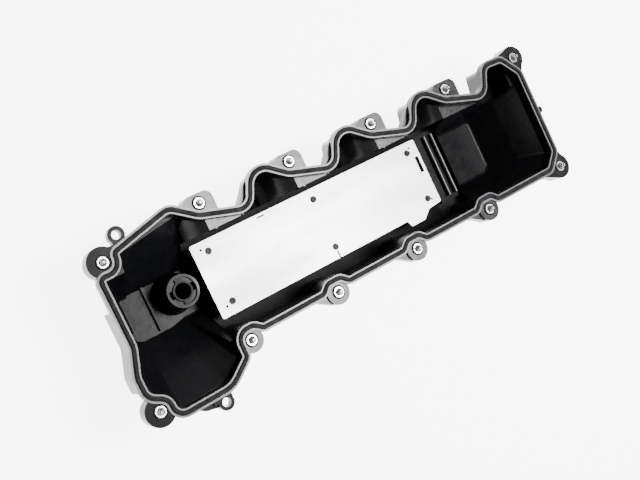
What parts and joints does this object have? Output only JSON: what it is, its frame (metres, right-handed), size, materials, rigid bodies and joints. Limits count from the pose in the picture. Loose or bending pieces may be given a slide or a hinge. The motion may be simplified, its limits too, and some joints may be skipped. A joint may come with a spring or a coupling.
{
  "type": "cylinder head cover",
  "caption": "Moulded engine cylinder head cover, open side up, with perimeter gasket, captive bolts, oil baffle, filler cap and breather valve.",
  "frame": {"origin": "bottom centre of the whole part's box, on the plane of the four rest bosses", "axes": "+X along the cylinder bank towards the deep right chamber, +Y towards the scalloped side, +Z out of the open side, normal to the sealing flange"},
  "size_m": [0.5424, 0.1938, 0.0902],
  "materials": {
    "black_nylon": "semi-gloss",
    "gasket_rubber": "matt",
    "plate_metal": "satin",
    "screw_steel": "blackened",
    "insert_plastic": "matt",
    "zinc_steel": "bright zinc",
    "grommet_rubber": "matt",
    "cap_plastic": "satin",
    "seal_rubber": "satin",
    "spring_steel": "bright",
    "bolt_steel": "zinc plated"
  },
  "bodies": {
    "cover": {"cover_shell": "black_nylon", "perimeter_gasket": "gasket_rubber", "baffle_plate": "plate_metal", "baffle_screws": "screw_steel", "separator_insert": "insert_plastic", "limiter_sleeves": "zinc_steel", "bolt_grommets": "grommet_rubber", "pcv_spring": "spring_steel", "pcv_lid": "cap_plastic", "breather_spigot": "insert_plastic"},
    "filler_cap": {"oil_filler_cap": "cap_plastic", "filler_cap_seal": "seal_rubber"},
    "pcv_plunger": {"pcv_plunger": "insert_plastic"},
    "bolt_01": {"cover_bolt_01": "bolt_steel"},
    "bolt_02": {"cover_bolt_02": "bolt_steel"},
    "bolt_03": {"cover_bolt_03": "bolt_steel"},
    "bolt_04": {"cover_bolt_04": "bolt_steel"},
    "bolt_05": {"cover_bolt_05": "bolt_steel"},
    "bolt_06": {"cover_bolt_06": "bolt_steel"},
    "bolt_07": {"cover_bolt_07": "bolt_steel"},
    "bolt_08": {"cover_bolt_08": "bolt_steel"},
    "bolt_09": {"cover_bolt_09": "bolt_steel"},
    "bolt_10": {"cover_bolt_10": "bolt_steel"},
    "bolt_11": {"cover_bolt_11": "bolt_steel"},
    "bolt_12": {"cover_bolt_12": "bolt_steel"}
  },
  "joints": [
    {"name": "filler_cap_turn", "type": "hinge", "parent": "cover", "child": "filler_cap", "pos_m": [-0.1842, 0.01705, 0.025], "axis": [0, 0, 1], "range_deg": [0, 90]},
    {"name": "pcv_plunger_travel", "type": "slide", "parent": "cover", "child": "pcv_plunger", "axis": [0, 0, -1], "range_m": [0, 0.004], "stiffness_N_per_m": 200, "springref_m": -0.004, "deforming": ["pcv_spring"]},
    {"name": "bolt_01_float", "type": "slide", "parent": "cover", "child": "bolt_01", "axis": [0, 0, 1], "range_m": [-0.007, 0.0085]},
    {"name": "bolt_02_float", "type": "slide", "parent": "cover", "child": "bolt_02", "axis": [0, 0, 1], "range_m": [-0.007, 0.0085]},
    {"name": "bolt_03_float", "type": "slide", "parent": "cover", "child": "bolt_03", "axis": [0, 0, 1], "range_m": [-0.007, 0.0085]},
    {"name": "bolt_04_float", "type": "slide", "parent": "cover", "child": "bolt_04", "axis": [0, 0, 1], "range_m": [-0.007, 0.0085]},
    {"name": "bolt_05_float", "type": "slide", "parent": "cover", "child": "bolt_05", "axis": [0, 0, 1], "range_m": [-0.007, 0.0085]},
    {"name": "bolt_06_float", "type": "slide", "parent": "cover", "child": "bolt_06", "axis": [0, 0, 1], "range_m": [-0.007, 0.0085]},
    {"name": "bolt_07_float", "type": "slide", "parent": "cover", "child": "bolt_07", "axis": [0, 0, 1], "range_m": [-0.007, 0.0085]},
    {"name": "bolt_08_float", "type": "slide", "parent": "cover", "child": "bolt_08", "axis": [0, 0, 1], "range_m": [-0.007, 0.0085]},
    {"name": "bolt_09_float", "type": "slide", "parent": "cover", "child": "bolt_09", "axis": [0, 0, 1], "range_m": [-0.007, 0.0085]},
    {"name": "bolt_10_float", "type": "slide", "parent": "cover", "child": "bolt_10", "axis": [0, 0, 1], "range_m": [-0.007, 0.0085]},
    {"name": "bolt_11_float", "type": "slide", "parent": "cover", "child": "bolt_11", "axis": [0, 0, 1], "range_m": [-0.007, 0.0085]},
    {"name": "bolt_12_float", "type": "slide", "parent": "cover", "child": "bolt_12", "axis": [0, 0, 1], "range_m": [-0.007, 0.0085]}
  ]
}
